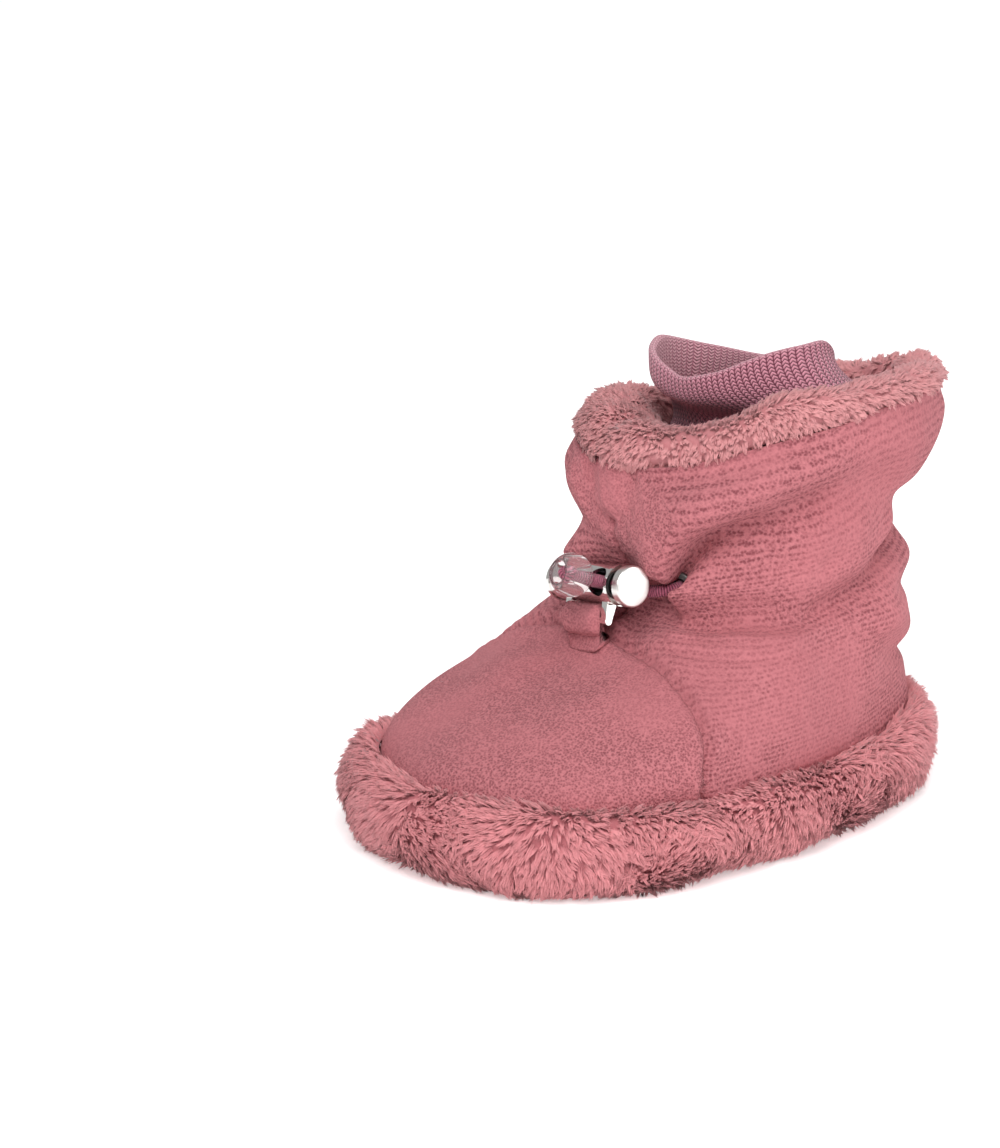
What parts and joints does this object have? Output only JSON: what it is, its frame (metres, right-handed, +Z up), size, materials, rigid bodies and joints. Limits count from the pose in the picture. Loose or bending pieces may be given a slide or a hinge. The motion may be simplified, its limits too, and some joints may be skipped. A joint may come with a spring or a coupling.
{
  "type": "baby bootie",
  "caption": "Soft ankle-high baby bootie with a plush band round the sole, plush collar, knitted inner cuff and an elastic drawcord with a metal cord lock and a clear cord end.",
  "frame": {"origin": "middle of the bootie's footprint, on the floor under the grip dots", "axes": "+Z up, the toe points along -Y and the heel along +Y, +X to the side the cord lock's button faces"},
  "size_m": [0.0872, 0.1317, 0.0907],
  "materials": {
    "velour_rose": "short velour pile, matt with a soft edge sheen",
    "plush_rose": "long curly plush pile",
    "plush_lining": "plush lining",
    "knit_mauve": "fine jersey knit",
    "cord_magenta": "ribbed round elastic cord",
    "tape": "woven tape",
    "foam": "soft foam sheet",
    "sole_cloth": "dense cloth with raised grip dots",
    "nickel": "polished nickel plate",
    "spring_steel": "drawn spring wire",
    "clear_plastic": "clear moulded plastic"
  },
  "bodies": {
    "boot": {"outsole": "sole_cloth", "sole_pad": "foam", "footbed": "plush_lining", "sole_rand": "plush_rose", "vamp": "velour_rose", "quarter_left": "velour_rose", "quarter_right": "velour_rose", "vamp_lining": "plush_lining", "lining_left": "plush_lining", "lining_right": "plush_lining", "collar_band": "plush_rose", "knit_cuff": "knit_mauve", "cord_casing": "tape", "elastic_cord": "cord_magenta", "eyelet_left": "nickel", "eyelet_right": "nickel", "washer_left": "nickel", "washer_right": "nickel", "tab_loop": "velour_rose"},
    "lock": {"lock_barrel": "nickel", "lock_spring": "spring_steel", "cord_strands": "cord_magenta"},
    "plunger": {"lock_plunger": "nickel"},
    "cord_end": {"cord_end_bead": "clear_plastic", "cord_knot": "cord_magenta"}
  },
  "joints": [
    {"name": "lock_tilt", "type": "hinge", "parent": "boot", "child": "lock", "pos_m": [0.00031, -0.01805, 0.04152], "axis": [0.9848, 0, 0.1736], "range_deg": [-8, 25], "stiffness_Nm_per_rad": 0.03, "deforming": ["cord_strands"]},
    {"name": "plunger_press", "type": "slide", "parent": "lock", "child": "plunger", "axis": [-0.9848, 0, -0.1736], "range_m": [0, 0.0016], "stiffness_N_per_m": 400, "springref_m": -0.004, "deforming": ["lock_spring"]},
    {"name": "cord_pull", "type": "slide", "parent": "lock", "child": "cord_end", "axis": [-0.0622, -0.9336, 0.3529], "range_m": [0, 0.015], "deforming": ["cord_strands"]}
  ]
}
